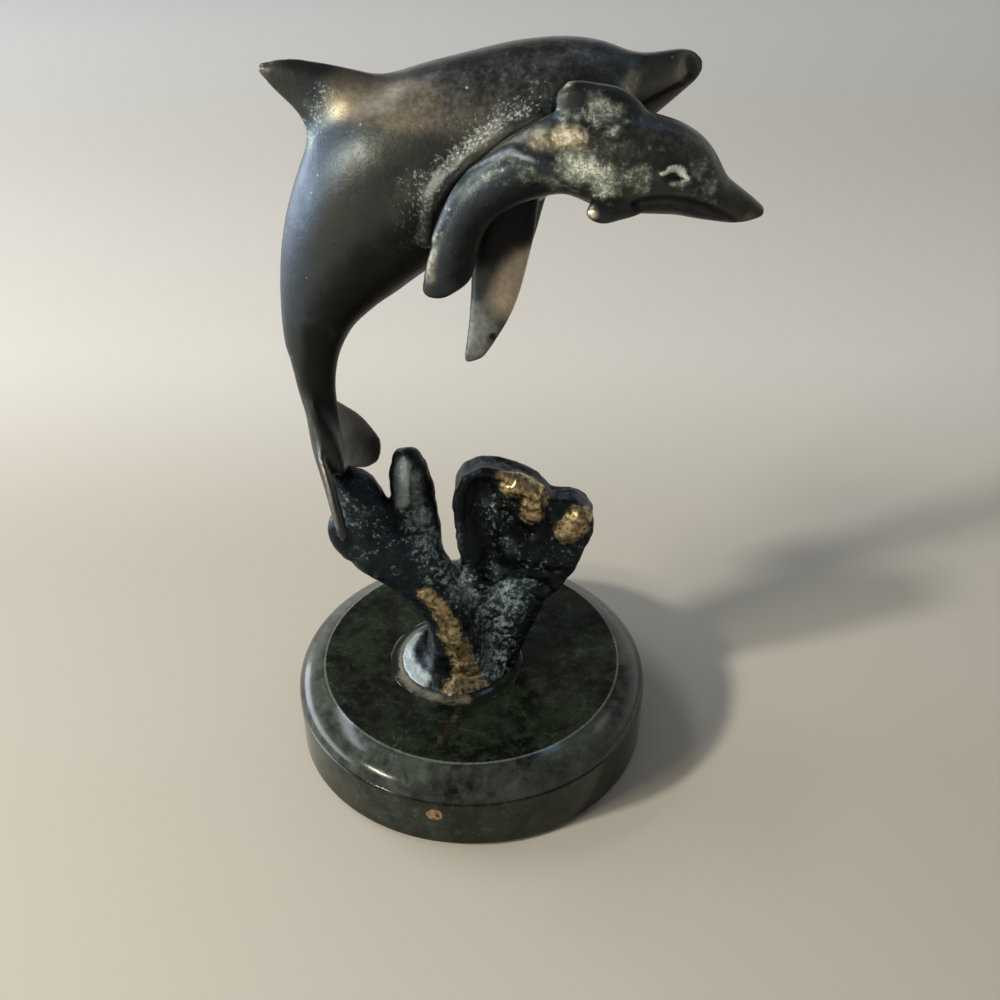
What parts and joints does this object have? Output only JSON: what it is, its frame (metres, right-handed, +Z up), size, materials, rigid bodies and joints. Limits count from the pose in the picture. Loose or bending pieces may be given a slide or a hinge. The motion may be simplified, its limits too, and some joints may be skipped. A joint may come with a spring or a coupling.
{
  "type": "dolphin sculpture",
  "caption": "Cast brass dolphin and calf leaping side by side from a forked coral stem, bolted to a round polished marble base with a felt underside.",
  "frame": {"origin": "middle of the felt's underside, on the axis of the round base", "axes": "+Z up; +X to the right, the way both beaks point; -Y towards the viewer, the side that the calf is on"},
  "size_m": [0.1125, 0.1, 0.197],
  "materials": {
    "mother_brass": "cast brass under a dark brown-black patina with a blue-grey sheen, rubbed to warm gold in places",
    "calf_brass": "cast brass under a dark green-black patina, pale speckles at the seam, eye and neck",
    "coral_brass": "rough cast brass under a black patina stippled pale blue-green, raised parts rubbed to gold",
    "marble": "polished very dark green marble with fine mottled veins",
    "felt": "dark green wool felt",
    "steel": "zinc-plated fastener steel",
    "plug_brass": "dull copper-coloured brass",
    "adhesive": "matt dried adhesive, pale grey-brown"
  },
  "bodies": {
    "root": {"felt_pad": "felt", "marble_base": "marble", "side_plug": "plug_brass", "flat_washer": "steel", "spring_washer": "steel", "hex_nut": "steel", "threaded_stud": "steel", "adhesive_bead": "adhesive", "coral_foot": "coral_brass", "coral_left_branch": "coral_brass", "coral_finger": "coral_brass", "coral_right_leaf": "coral_brass", "mother_body": "mother_brass", "mother_flukes": "mother_brass", "mother_right_pectoral_fin": "mother_brass", "mother_left_pectoral_fin": "mother_brass", "calf_body": "calf_brass", "calf_flukes": "calf_brass", "calf_right_pectoral_fin": "calf_brass", "calf_left_pectoral_fin": "calf_brass"}
  },
  "joints": []
}
